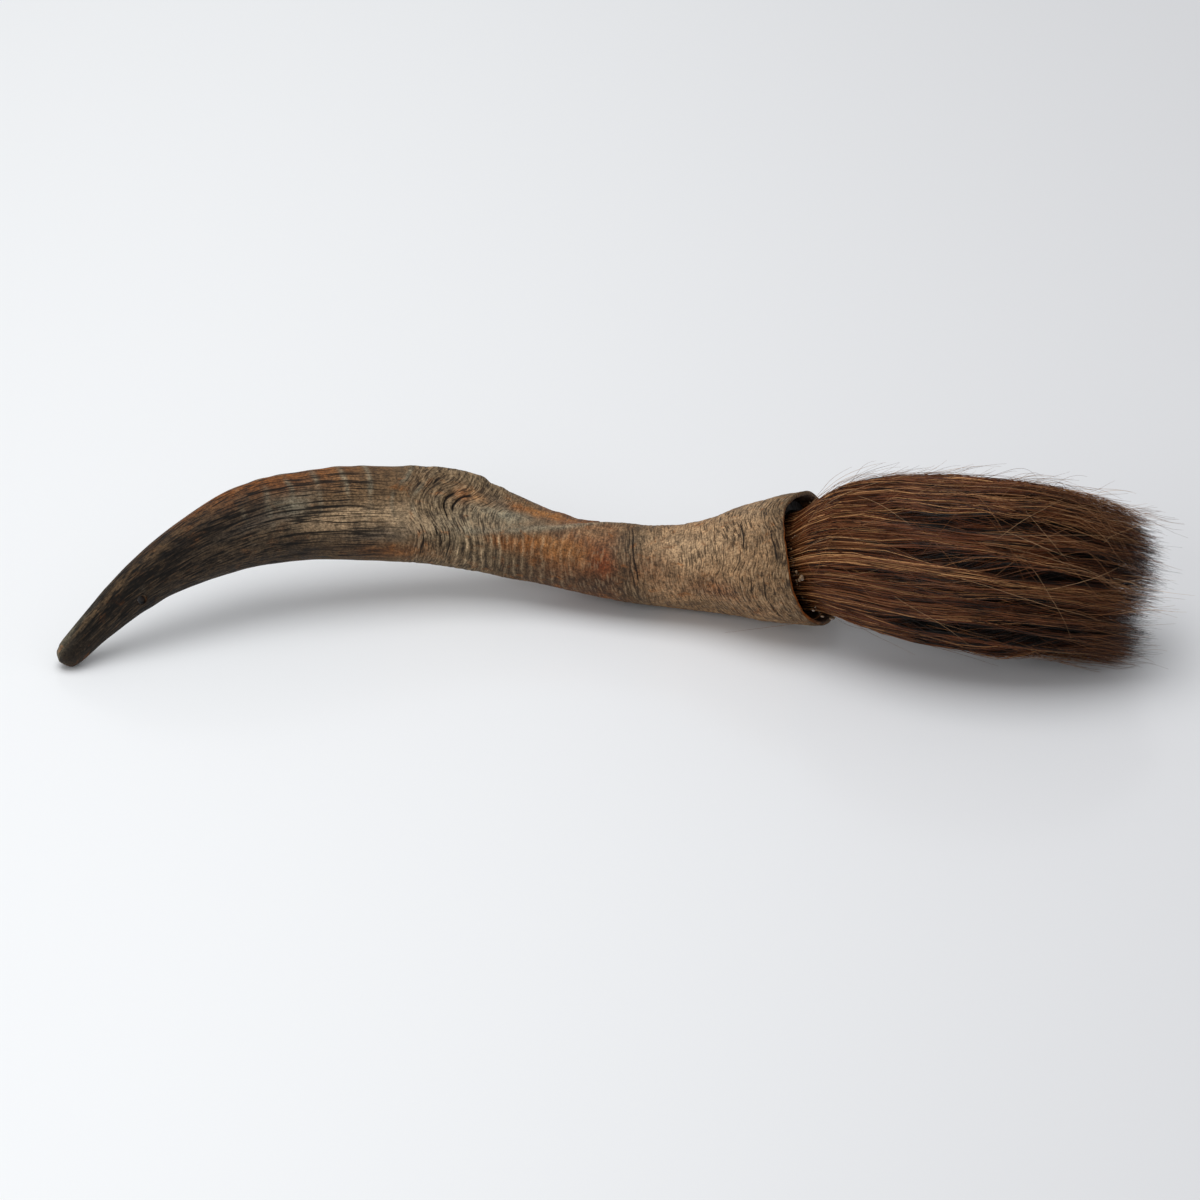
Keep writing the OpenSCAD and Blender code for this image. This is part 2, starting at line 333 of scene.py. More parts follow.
u_line = np.linspace(0, LAST, 6000)
mid_line = through(STATIONS, u_line)[:, :3]
arc_line = np.concatenate([[0], np.cumsum(np.linalg.norm(np.diff(mid_line, axis=0), axis=1))])
step_line = mix(TIP_STEP, FINE_STEP, ease(FINE_FROM - 12, FINE_FROM + 12, arc_line)) * ease(-3, 4, arc_line)
ring_line = np.concatenate([[0], np.cumsum(np.diff(arc_line) / step_line[1:])])
ring_total = int(ring_line[-1])
horn_u = np.interp(np.linspace(0, ring_line[-1], ring_total), ring_line, u_line)
degrees = np.arange(SIDES) * 360 / SIDES
theta = degrees[None, :]
axes = horn_axes(horn_u)
across = axes[0][:, :1]
arc = np.interp(horn_u, u_line, arc_line)[:, None]
base_r = horn_radius(horn_u, degrees)
c_theta, s_theta = np.cos(np.radians(theta)), np.sin(np.radians(theta))
straight = np.stack([arc + 0 * theta, base_r * c_theta, base_r * s_theta], axis=-1)

# How far the growth lines lean towards the mouth round the section, in millimetres.
BEND_LEAN = [
    (0, 7.5), (15, 6.6), (29, 4.7), (36, 3.2), (50, 0.6), (64, -0.1), (76, 0.3), (88, 1.5), (102, 4.2),
    (115, 5.6), (140, 6.2), (180, 5), (215, 1), (240, 0), (275, 3), (320, 6),
]
NECK_LEAN = [(0, 0), (40, 0.4), (90, 1.6), (124, 3.4), (160, 4), (200, 4), (250, 2), (300, 0.5)]
RING_LEAN = [(0, 0), (30, 0.8), (60, 2.6), (90, 4.4), (124, 6), (160, 6.5), (200, 6), (250, 3.5), (300, 1)]
BELL_LEAN = [
    (0, -1), (36, -0.8), (50, 0.2), (65, 2.2), (88, 3), (102, 0.4), (124, 0), (152, 2.2), (180, 3), (225, 1),
    (290, 2), (330, 0),
]
bend_zone = zone(88, 100, 122, 138, across)
neck_zone = zone(122, 138, 158, 170, across)
ring_zone = zone(158, 170, 184, 200, across)
bell_zone = ease(184, 200, across)
lean = (
    bend_zone * around(BEND_LEAN, theta, 6)
    + neck_zone * around(NECK_LEAN, theta)
    + ring_zone * around(RING_LEAN, theta)
    + bell_zone * around(BELL_LEAN, theta, 5)
)
warp = 0.9 * noise(straight, 11, 1) + 0.35 * noise(straight, 4, 2)
growth = arc - lean + warp
ringed = np.stack([growth, straight[..., 1], straight[..., 2]], axis=-1)

relief = 0.32 * noise(straight, 13, 3) + 0.12 * noise(straight, 5, 4)
relief *= ease(-6, 12, across)


def stripe(angle, half_width):
    """1 along a line at an angle round the section, fading to each side."""
    return hump(turn_gap(theta, angle), 0, half_width)


# Keel flange along the top, with its snapped steps, the gutter in front and the lower ridge.
FLANGE = [(96, 8), (110, 2), (120, -3), (130, -6), (140, -9), (150, -12), (158, -16), (168, -45)]
FLANGE_HEIGHT = [
    (96, 0), (104, 0.2), (114, 0.7), (121.2, 1.4), (123.2, 0.2), (127, 0.8), (129.4, 0), (136, 0.4),
    (139, 0.1), (146, 0.5), (150, 0.35), (156.6, 1.3), (160.4, 0.1), (170, 0),
]
RIDGE = [(112, 104), (118, 99), (126, 91), (135.6, 79), (147.7, 57), (160, 25), (168, 8)]
flange_at = along_line(FLANGE, across)
ridge_at = along_line(RIDGE, across)
gutter_at = mix(flange_at, ridge_at, 0.52)
gutter_width = np.maximum(8, (ridge_at - flange_at) * 0.3)
relief += along_line(FLANGE_HEIGHT, across) * stripe(flange_at, 13)
relief -= 0.95 * zone(110, 124, 152, 168, across) * stripe(gutter_at, gutter_width)
ridge_zone = zone(112, 122, 160, 176, across)
relief += 0.75 * ridge_zone * stripe(ridge_at, 7)

# A ridge with a groove below it runs up from the blunt end.
TIP_RIDGE = [(-4, 52), (14, 50), (30, 42), (46, 32)]
tip_ridge_at = along_line(TIP_RIDGE, across)
tip_zone = zone(-2, 6, 30, 52, across)
relief += 0.45 * tip_zone * stripe(tip_ridge_at, 12)
relief -= 0.6 * tip_zone * stripe(tip_ridge_at + 38, 17)

# Broad cross bulges on the outer curve of the bend.
SWELL_PITCH = 7.6
swell = np.sin(math.tau * (growth + 1.5 * noise(straight, 9, 5)) / SWELL_PITCH)
swell_zone = zone(44, 60, 98, 112, across) * np.clip(0.35 + c_theta, 0, 1)
relief += 0.09 * swell * swell_zone

# Ringed ridges on the lower side between the bend and the neck.
RIB_PITCH = 3.3
rib_way = growth + 1.3 * noise(straight, 7, 6) + 0.4 * noise(straight, 2.5, 25)
rib_wave = np.sin(math.tau * rib_way / RIB_PITCH)
rib = (0.5 + 0.5 * rib_wave) ** 2.2
rib_crest = (0.5 + 0.5 * rib_wave) ** 5
rib_trough = np.clip(-rib_wave - 0.1, 0, 1)
rib_zone = ease(108, 117, across) * (1 - 0.72 * ease(132, 142, across)) * (1 - ease(150, 162, across))
rib_zone = rib_zone * ease(2, 16, theta - ridge_at) * (1 - ease(134, 166, theta))
rib_zone *= np.clip(0.8 + 0.7 * noise(straight, 4.5, 7), 0.1, 1.4)
relief += 0.7 * (rib - 0.35) * rib_zone

# Growth lines: fine ridges that keep their way for a long stretch round the section.
lines = noise(ringed, (0.7, 5, 5), 8)
coarse_lines = noise(ringed, (1.4, 9, 9), 9)
slant = np.abs(np.roll(growth, -1, axis=1) - np.roll(growth, 1, axis=1)) / 2
even = 1 - ease(0.3, 0.9, slant)
line_zone = bend_zone * ease(94, 104, across) + 0.45 * neck_zone + 0.7 * ring_zone + bell_zone
line_zone = np.clip(line_zone, 0, 1) * (1 - 0.5 * np.clip(rib_zone, 0, 1))
relief += (0.1 * lines + mix(0.13, 0.04, bell_zone) * coarse_lines) * line_zone * even

# Lengthwise fibre grooves from the tip to the bend.
fibre_zone = zone(-2, 8, 84, 104, across)
fibres = noise(straight, (26, 1.15, 1.15), 10)
deep_fibres = np.clip(noise(straight, (38, 2.2, 2.2), 12) - 0.15, 0, 1)
relief -= fibre_zone * (0.14 * np.clip(fibres, -0.2, 1) + 0.22 * deep_fibres)

# Cracks that follow the growth lines: x, start and end angle, depth and width in millimetres.
CRACKS = [
    (110.2, 34, 90, 0.8, 0.36), (114.4, 27, 76, 0.7, 0.36), (107.6, 18, 36, 0.45, 0.34),
    (102.6, 28, 44, 0.45, 0.32), (106.0, 60, 80, 0.4, 0.3), (99.4, 24, 40, 0.35, 0.3),
    (119.5, 46, 70, 0.35, 0.3), (108.0, 92, 118, 0.45, 0.32), (110.6, 104, 130, 0.4, 0.32),
    (104.5, 108, 150, 0.4, 0.34), (113.8, 96, 150, 0.35, 0.34), (170.8, 12, 128, 0.3, 0.4),
    (172.2, 30, 112, 0.42, 0.36), (173.8, 20, 90, 0.25, 0.34), (175.4, 44, 120, 0.2, 0.3),
    (210.4, 46, 84, 0.6, 0.32), (217.0, 22, 44, 0.5, 0.36), (220.6, 56, 94, 0.42, 0.34),
    (221.8, 64, 100, 0.3, 0.3), (208.0, 96, 124, 0.3, 0.3), (211.0, 100, 150, 0.32, 0.34),
    (215.5, 106, 160, 0.34, 0.34), (219.0, 118, 168, 0.3, 0.3), (196.0, 92, 106, 0.3, 0.3),
    (186.0, 210, 262, 0.5, 0.4), (207.0, 262, 320, 0.45, 0.36), (118.0, 236, 300, 0.5, 0.4),
    (150.0, 226, 280, 0.4, 0.36),
]
crack = np.zeros_like(base_r)
for at_x, from_angle, to_angle, depth, width in CRACKS:
    row = int(np.argmin(np.abs(across[:, 0] - at_x)))
    column = int(round((from_angle + to_angle) / 2 / 360 * SIDES)) % SIDES
    off = growth - growth[row, column] + 0.35 * noise(straight, 2.3, 13)
    reach = zone(from_angle - 5, from_angle + 9, to_angle - 9, to_angle + 5, theta)
    groove = hump(off, 0, np.hypot(width, 0.62 * slant)) * reach * (np.abs(across - at_x) < 16)
    crack = np.maximum(crack, groove * min(1, depth / 0.45))
    relief -= depth * groove

# The sawn edge isn't quite flat: it runs on a little at the lower far side.
LIP_RUN = [
    (0, -0.6), (20, -2.2), (42, -2.9), (62, -1.6), (84, -0.2), (150, 0.6), (192, 2.6), (225, 2.2), (275, 0.4),
    (330, 0.3),
]
lip_push = around(LIP_RUN, degrees) + 0.16 * noise(straight[-1], 2.4, 14)
push = ease(200, MOUTH_X, across) ** 2 * lip_push[None, :]
relief += 0.3 * ease(216, MOUTH_X, across) * noise(straight, 6, 15)

outer_r = base_r + relief
outer = ring_points(axes, degrees, outer_r) + push[..., None] * axes[1][:, None, :]

# Lip and inner wall.
lip_axes = [a[-1:] for a in axes]
lip_wall = 1.15 + 0.2 * noise(straight[-1], 7, 16)
LIP_PROFILE = [(0.09, 0.10), (0.32, 0.17), (0.7, 0.18), (0.93, 0.1), (1, 0)]
lip_rings = []
for share, out in LIP_PROFILE:
    ring = ring_points(lip_axes, degrees, outer_r[-1:] - share * lip_wall[None, :])
    rough = out + 0.07 * noise(straight[-1], 0.9, 17 + share)
    lip_rings.append(ring + (lip_push + rough)[None, :, None] * lip_axes[1][:, None, :])
mouth_half = u_line[len(u_line) // 2:]
cavity_x = through(STATIONS, mouth_half)[:, 0]
cavity_u = float(np.interp(MOUTH_X - CAVITY_DEPTH, cavity_x, mouth_half))
q = np.linspace(0, 1, 46)[1:, None] ** 1.25
inner_u = mix(LAST, cavity_u, q[:, 0])
inner_axes = horn_axes(inner_u)
wall = mix(LIP_WALL, DEEP_WALL, q) - 0.2 * (1 - ease(0, 0.1, q))
shut = np.cos(np.radians(84 * np.clip((q - 0.5) / 0.5, 0, 1)))
inner_r = (horn_radius(inner_u, degrees) - wall) * shut
inner = ring_points(inner_axes, degrees, inner_r)
inner = inner + (ease(0.24, 0, q) * lip_push[None, :])[..., None] * inner_axes[1][:, None, :]

rings = np.concatenate([outer] + lip_rings + [inner])
count = len(rings)
tip = axes[0][0] - 0.35 * axes[1][0]
deep = inner.mean(axis=1)[-1] - 0.4 * inner_axes[1][-1]
points = np.concatenate([rings.reshape(-1, 3), [tip, deep]])
faces = tube_faces(count, SIDES).tolist() + fan_faces(count, SIDES)
horn = mesh_piece("horn_skin", points, [f[::-1] for f in faces])

# Broad colours: a base along the length, then listed soft patches.
LENGTH_TINTS = [
    (-4, "umber"), (3, "soot"), (28, "soot"), (46, "umber"), (64, "umber"), (78, "bark"), (94, "bark"),
    (106, "olive"), (122, "olive"), (136, "bark"), (150, "russet"), (164, "russet"), (172, "bark"),
    (181, "tan"), (214, "tan"), (224, "bark"),
]
# x, angle, half length, half angle, colour, strength
PATCHES = [
    (0, 10, 9, 40, "ash", 0.6), (3, 95, 12, 45, "soot", 0.7), (34, 128, 26, 30, "umber", 0.75),
    (21, 112, 9, 26, "soot", 0.35),
    (40, 92, 20, 16, "umber", 0.6), (24, 10, 24, 22, "umber", 0.8), (50, 12, 16, 26, "rust", 0.85),
    (40, 60, 14, 18, "umber", 0.5), (64, 62, 6, 14, "ash", 0.55), (56, 78, 14, 12, "slate", 0.4),
    (74, 18, 14, 22, "rust", 0.75), (68, 40, 9, 12, "russet", 0.7), (88, 36, 12, 24, "bark", 0.5),
    (81, 92, 18, 15, "pale", 0.65), (101, 96, 13, 20, "pale", 0.55), (90, 113, 12, 9, "slate", 0.6),
    (80, 138, 26, 20, "umber", 0.8), (98, 142, 14, 14, "rust", 0.5), (62, 150, 26, 26, "umber", 0.5),
    (104, 22, 10, 24, "bark", 0.6), (116, 44, 4.5, 14, "rust", 0.95), (121, 38, 3, 12, "honey", 0.8),
    (116, 96, 14, 18, "ash", 0.35), (129, 56, 11, 22, "ash", 0.85), (126, 30, 5, 12, "slate", 0.4),
    (134, 24, 6, 10, "rust", 0.75), (142, 22, 6, 12, "honey", 0.8), (148, 24, 5, 10, "rust", 0.6),
    (154, 14, 8, 10, "honey", 0.6), (130, 104, 5, 9, "rust", 0.9), (140, 98, 8, 12, "rust", 0.8),
    (149, 84, 8, 16, "honey", 0.45), (136, 145, 16, 26, "umber", 0.6), (150, 128, 14, 20, "umber", 0.55),
    (158, 44, 10, 16, "tan", 0.6), (163, 90, 5, 22, "brick", 0.9), (162, 122, 8, 18, "umber", 0.6),
    # The umber band at x 172, angle 90 is painted shade along the ring cracks there.
    (172, 90, 3.6, 46, "umber", 0.9), (179, 92, 8, 18, "russet", 0.7), (186, 60, 13, 26, "pale", 0.5),
    (176, 24, 8, 24, "bark", 0.4), (194, 112, 6, 14, "russet", 0.6), (201, 122, 7, 12, "brick", 0.5),
    (190, 156, 20, 20, "bark", 0.6), (202, 70, 14, 24, "pale", 0.35), (214, 120, 10, 26, "bark", 0.5),
    (212, 32, 9, 18, "ash", 0.3), (216, 72, 6, 16, "bark", 0.4), (121, -100, 24, 60, "bark", 0.5),
    (60, -110, 40, 50, "umber", 0.5), (150, -110, 20, 40, "rust", 0.3), (196, -90, 22, 50, "pale", 0.3),
    (172, -120, 5, 60, "umber", 0.5),
]
tint_x = across + 3 * noise(straight, 8, 20) + 1.2 * noise(straight, 2.6, 21)
tint_angle = theta + 9 * noise(straight, 9, 22) + 4 * noise(straight, 3, 23)
tint_stops = [stop for stop, _ in LENGTH_TINTS]
base_tints = np.array([colour(name) for _, name in LENGTH_TINTS])
tint = np.stack([np.interp(tint_x, tint_stops, base_tints[:, k]) for k in range(3)], axis=-1)
for at_x, at_angle, half_length, half_angle, name, strength in PATCHES:
    away = ((tint_x - at_x) / half_length) ** 2 + (turn_gap(tint_angle, at_angle) / half_angle) ** 2
    tint = mix(tint, colour(name), (strength * np.exp(-away))[..., None])
broken = np.clip(0.75 + 0.8 * noise(ringed, (1.2, 2.4, 2.4), 26), 0, 1.3)
painted_swell_highlight = swell_zone * np.clip(swell, 0, 1) ** 4 * np.clip(0.7 + 1.1 * noise(straight, 3.4, 27), 0, 1.3)
TINT_LAYERS = [
    ("tip_crest", 0.55 * tip_zone * stripe(tip_ridge_at, 8)),
    ("black_groove", 0.7 * tip_zone * stripe(tip_ridge_at + 30, 14)),
    ("ash", 0.6 * ridge_zone * stripe(ridge_at, 6)),
    # Pale ash colour on the crests of the swell bulges: painted highlight.
    ("ash", 0.6 * np.clip(painted_swell_highlight, 0, 1)),
    # Darker in the rib troughs and pale on the rib crests.
    ("soot", 0.75 * np.clip(rib_zone * rib_trough, 0, 1)),
    ("pale_rib_crest", 0.95 * np.clip(rib_zone * broken * rib_crest, 0, 1)),
]
for name, share in TINT_LAYERS:
    tint = mix(tint, colour(name), share[..., None])

# The lip is freshest where it faces the front, and the inner wall is painted darker within a tenth of its
# depth: painted shade inside the mouth.
near_lip = zone(34, 70, 150, 190, degrees)[:, None]
lip_tint = np.tile(mix(colour("worn_lip"), colour("fresh_lip"), near_lip), (len(LIP_PROFILE), 1, 1))
lip_tint[0] = mix(lip_tint[0], colour("bark"), 0.6)
lip_tint[-1] = colour("inner_edge")
inner_tint = mix(colour("mouth_wall"), colour("mouth_painted_shade"), ease(0, 0.12, q)[..., None])
tint = np.concatenate([tint, lip_tint, np.tile(inner_tint, (1, SIDES, 1))])


def whole_skin(values, past_lip=0.0):
    """One number per skin point: the outer values, then one value for the lip and inner wall."""
    outer_values = np.broadcast_to(values, base_r.shape)
    rest = np.full((len(LIP_PROFILE) + len(inner), SIDES), past_lip)
    return with_ends(np.concatenate([outer_values, rest]))


past_mouth = np.arange(1, len(LIP_PROFILE) + len(inner) + 1) * 0.6
lip_straight = np.tile(straight[-1:] * [0, 0.9, 0.9], (len(past_mouth), 1, 1))
lip_straight[..., 0] = arc[-1, 0] + past_mouth[:, None]
put_values(horn, "straight", with_ends(np.concatenate([straight, lip_straight])))
put_values(horn, "ringed", with_ends(np.concatenate([ringed, lip_straight])))
put_values(horn, "tint", with_ends(tint))
put_values(horn, "lines", whole_skin(line_zone, 0.25))
put_values(horn, "fibre", whole_skin(fibre_zone, 0.15))
put_values(horn, "crack", whole_skin(crack))

# The hanging hole goes right through at the CAD mount.
hole = next(m for m in frame["record"]["mounts"] if m["name"] == "hanging_hole")
HOLE_SIDES = 28
# Distance along the hole in millimetres, and the radius as a share of the mount's.
HOLE_PROFILE = [(-14, 1.25), (-6.1, 1.25), (-5.2, 1.1), (5.2, 1.1), (6.1, 1.25), (14, 1.25)]
hole_mid = np.array(hole["pos_m"]) * 1000 - SHIFT
hole_axis = unit(np.array(hole["axis"]))
hole_side = unit(np.cross(hole_axis, [0, 0, 1]))
hole_up = np.cross(hole_axis, hole_side)
turn = np.arange(HOLE_SIDES)[:, None] * math.tau / HOLE_SIDES
drill = []
for out, spread in HOLE_PROFILE:
    r = hole["dims"]["r_mm"] * spread
    drill.append(hole_mid + out * hole_axis + r * (np.cos(turn) * hole_side + np.sin(turn) * hole_up))
drill = np.concatenate(drill)
drill_shape = (len(HOLE_PROFILE), HOLE_SIDES)
drill_faces = tube_faces(*drill_shape).tolist() + cap_faces(*drill_shape)
cutter = mesh_piece("hole_cutter", drill, drill_faces, smooth=False)
# The hole's wall is painted near black, and crack and fibre values of 1 darken it further: painted shade
# inside the hole.
put_values(cutter, "tint", np.tile(colour("hole_painted_shade"), (len(drill), 1)))
for name in ("crack", "fibre"):
    put_values(cutter, name, np.ones(len(drill)))
for name in ("straight", "ringed"):
    put_values(cutter, name, drill)
for piece in (horn, cutter):
    shape = bmesh.new()
    shape.from_mesh(piece.data)
    bmesh.ops.recalc_face_normals(shape, faces=shape.faces)
    shape.to_mesh(piece.data)
    shape.free()
cut = horn.modifiers.new("hole", "BOOLEAN")
cut.operation = "DIFFERENCE"
cut.solver = "EXACT"
cut.object = cutter
holed = bpy.data.meshes.new_from_object(horn.evaluated_get(bpy.context.evaluated_depsgraph_get()))
horn.modifiers.clear()
horn.data = holed
holed.set_sharp_from_angle(angle=math.radians(55))
horn.data.name = "horn_skin"
bpy.data.objects.remove(cutter)

# ---- hair
HAIR_X = np.arange(-26, 112, 0.5)
hair_shift = through(STATIONS, LAST)[0, :3] - np.array(HAIR_STATIONS[1][:3])
hair_rows = through(HAIR_STATIONS, np.linspace(0, len(HAIR_STATIONS) - 1, 1500))
reach_x = hair_rows[:, 0]
hair_mid_rows = hair_shift + hair_rows[:, :3] * [HAIR_LENGTH / HAIR_REACH, 1, 1]
hair_mid = np.stack([np.interp(HAIR_X, reach_x, hair_mid_rows[:, k]) for k in range(3)], axis=-1)
facing = axes[1][-1]
inside = np.minimum(0, HAIR_X + 6)[:, None]
hair_mid = hair_mid + inside * facing / facing[0] * HAIR_LENGTH / HAIR_REACH
end_run = unit(hair_mid_rows[-1] - hair_mid_rows[-60])
hair_mid = hair_mid + np.maximum(0, HAIR_X - HAIR_REACH)[:, None] * end_run
hair_run = unit(np.gradient(hair_mid, axis=0))
hair_up = unit(np.array([0, 0, 1]) - hair_run[:, 2:] * hair_run)
hair_side = np.cross(hair_up, hair_run)
spread = np.interp(HAIR_X, reach_x, hair_rows[:, 3]) * ease(-2, 12, HAIR_X)
spread += 0.02 * np.maximum(0, 6 - np.abs(HAIR_X - HAIR_REACH))
root_r = mix(ROOT_HAIR_R, MOUTH_HAIR_R, ease(-17, -2, HAIR_X))
# Gathered at the mouth: the hair sits low there, and draws in more in width than in height.
MOUTH_SAG = 0.9
WAIST = 0.15
hair_mid[:, 2] -= MOUTH_SAG * hump(HAIR_X, 0, 9)
waist = 1 - WAIST * hump(HAIR_X, -1, 8)
half_h = mix(1, waist, 0.45) * np.where(HAIR_X < 0, root_r, mix(MOUTH_HAIR_R, TUFT_HALF_H, spread))
half_w = waist * np.where(HAIR_X < 0, root_r, mix(MOUTH_HAIR_R, TUFT_HALF_W, spread))


def at_hair(values, x):
    """A hair frame value at each distance x out of the mouth."""
    if values.ndim == 1:
        return np.interp(x, HAIR_X, values)
    return np.stack([np.interp(x, HAIR_X, values[:, k]) for k in range(3)], axis=-1)


def hair_points(x, side_share, up_share, side_mm=0, up_mm=0):
    """Points in the tuft from shares of its half width and height, plus millimetres."""
    sideways = side_share * at_hair(half_w, x) + side_mm
    upwards = up_share * at_hair(half_h, x) + up_mm
    beside = at_hair(hair_mid, x) + sideways[..., None] * at_hair(hair_side, x)
    return beside + upwards[..., None] * at_hair(hair_up, x)


# Where the tuft ends at each height, as share of the half height and distance from the mouth.
TUFT_END = [
    (-1, 98), (-0.85, 102), (-0.55, 103), (-0.23, 101.5), (-0.08, 100.5), (0.03, 97.5), (0.12, 101),
    (0.3, 102), (0.5, 101.5), (0.74, 99.5), (1, 95),
]
# Partings in the side that faces -Y: distance and height share at each end, half opening in mm.
PARTINGS = [
    (20, 0.85, 80, 0.8, 1.3), (28, 0.56, 88, 0.36, 1.8), (24, -0.36, 88, -0.5, 1.9),
    (60, 0.66, 98, 0.54, 1.0), (18, 0.24, 58, 0.14, 0.7), (44, 0.1, 92, -0.04, 0.9),
    (52, -0.2, 98, -0.28, 0.9), (26, -0.78, 76, -0.74, 0.9),
]
STRAND_STEPS = 15
STRANDS = 13000
OUTER_STRANDS = int(STRANDS * 0.8)
CLUMPS = 420
END_TRIM = 2.4
END_SCATTER = 3.4
SHORT_SHARE = 0.14
WANDER_SHARE = 0.2
draw = np.random.default_rng(5)


def in_disc(number, low, high):
    """Points spread evenly over a ring of the unit disc."""
    rho = np.sqrt(draw.uniform(low**2, high**2, number))
    phi = draw.uniform(0, math.tau, number)
    return np.stack([rho * np.cos(phi), rho * np.sin(phi)], axis=-1)


clump_at = in_disc(CLUMPS, 0.12, 0.99)
clump_pull = draw.uniform(0.2, 0.85, CLUMPS)
clump_wave = draw.uniform(0.3, 1.1, CLUMPS)
clump_length = draw.uniform(18, 44, CLUMPS)
clump_phase = draw.uniform(0, math.tau, (CLUMPS, 2))
clump_tone = draw.normal(0, 0.13, CLUMPS)
clump_short = np.abs(draw.normal(0, 1.1, CLUMPS))

start_at = np.concatenate([in_disc(OUTER_STRANDS, 0.66, 1.0), in_disc(STRANDS - OUTER_STRANDS, 0.1, 0.7)])
gaps = np.linalg.norm(start_at[:, None, :] - clump_at[None, :, :], axis=2)
clump_of = np.argmin(gaps * draw.uniform(0.75, 1.25, gaps.shape), axis=1)
wisp_at = np.concatenate([start_at * TUFT_HALF_H, np.zeros((STRANDS, 1))], axis=-1)
strand_tone = draw.normal(0.46, 0.17, STRANDS) + 0.5 * clump_tone[clump_of] + 0.62 * noise(wisp_at, 0.5, 40)
strand_r = draw.uniform(0.065, 0.12, STRANDS)
end_share = mix(start_at, clump_at[clump_of], clump_pull[clump_of][:, None] * 0.9)
side_round = 4.5 * end_share[:, 0] ** 2
end_x = along_line(TUFT_END, end_share[:, 1]) - side_round - clump_short[clump_of] - END_TRIM
end_x += draw.normal(0, END_SCATTER, STRANDS)
short = draw.random(STRANDS) < SHORT_SHARE
end_x -= short * draw.uniform(4, 40, STRANDS)
start_x = draw.uniform(-8, -5, STRANDS)
t = np.linspace(0, 1, STRAND_STEPS)[None, :]
x = mix(start_x[:, None], end_x[:, None], t)
pull = clump_pull[clump_of][:, None] * ease(12, 98, x)
shares = mix(start_at[:, None, :], clump_at[clump_of][:, None, :], pull[..., None])
wander = draw.random(STRANDS) < WANDER_SHARE
swing = np.where(wander, draw.normal(0, 0.16, STRANDS), draw.normal(0, 0.04, STRANDS))
swing = swing[:, None] * ease(8, 98, x)
side_share = shares[..., 0] * np.cos(swing) - shares[..., 1] * np.sin(swing)
up_share = shares[..., 0] * np.sin(swing) + shares[..., 1] * np.cos(swing)
loose = mix(1, 1.015, wander[:, None] * ease(10, 50, x))
side_share, up_share = side_share * loose, up_share * loose
wave_in = clump_wave[clump_of][:, None] * ease(4, 60, x)
own_wave = draw.uniform(0.1, 0.6, (STRANDS, 1)) * ease(0, 26, x)
own_turn = math.tau * x / draw.uniform(15, 34, (STRANDS, 1)) + draw.uniform(0, math.tau, (STRANDS, 1))
own_lie = draw.uniform(0, math.tau, (STRANDS, 1))
clump_turn = math.tau * x / clump_length[clump_of][:, None]
phase = clump_phase[clump_of]
own_swing = own_wave * np.sin(own_turn)
side_mm = wave_in * np.sin(clump_turn + phase[:, :1]) + own_swing * np.cos(own_lie)
up_mm = wave_in * np.sin(clump_turn * 0.9 + phase[:, 1:]) + own_swing * np.sin(own_lie)
up_mm += 0.5 * noise(wisp_at, 0.9, 41)[:, None] * ease(2, 30, x)
# Strands further in from the tuft's surface are painted darker, from the mouth outwards: painted shade at
# depth.
painted_depth_shade = 0.62 * ease(0.97, 0.78, np.hypot(side_share, up_share)) * ease(0, 14, x)
for from_x, from_share, to_x, to_share, opening in PARTINGS:
    at_share = mix(from_share, to_share, (x - from_x) / (to_x - from_x))
    off = up_share - at_share + 0.025 * np.sin(x / 7 + 9 * from_share)
    window = zone(from_x, from_x + 14, to_x - 14, to_x, x) * ease(0.25, -0.35, side_share)
    up_mm += opening * np.sign(off) * np.exp(-((off / 0.1) ** 2)) * window
    # The partings are painted darker too: painted shade in the gaps.
    painted_depth_shade = np.maximum(painted_depth_shade, 0.28 * opening * hump(off, 0, 0.06) * window)
# Thin locks split off above and below towards the end, with daylight beside them.
up_mm += 1.1 * ease(0.9, 0.97, up_share) * hump(x, 84, 16)
up_mm -= 1.5 * zone(0.68, 0.8, 0.84, 0.93, up_share) * hump(x, 80, 9)
up_mm += 2.4 * zone(-0.6, -0.72, -0.8, -0.88, up_share) * hump(x, 79, 10)
paths = hair_points(x, side_share, up_share, side_mm, up_mm)


def rest_on_floor(points, clearance):
    """Keeps loose hair from going under the floor it lies on."""
    points[..., 2] = np.maximum(clearance - SHIFT[2], points[..., 2])
    return points


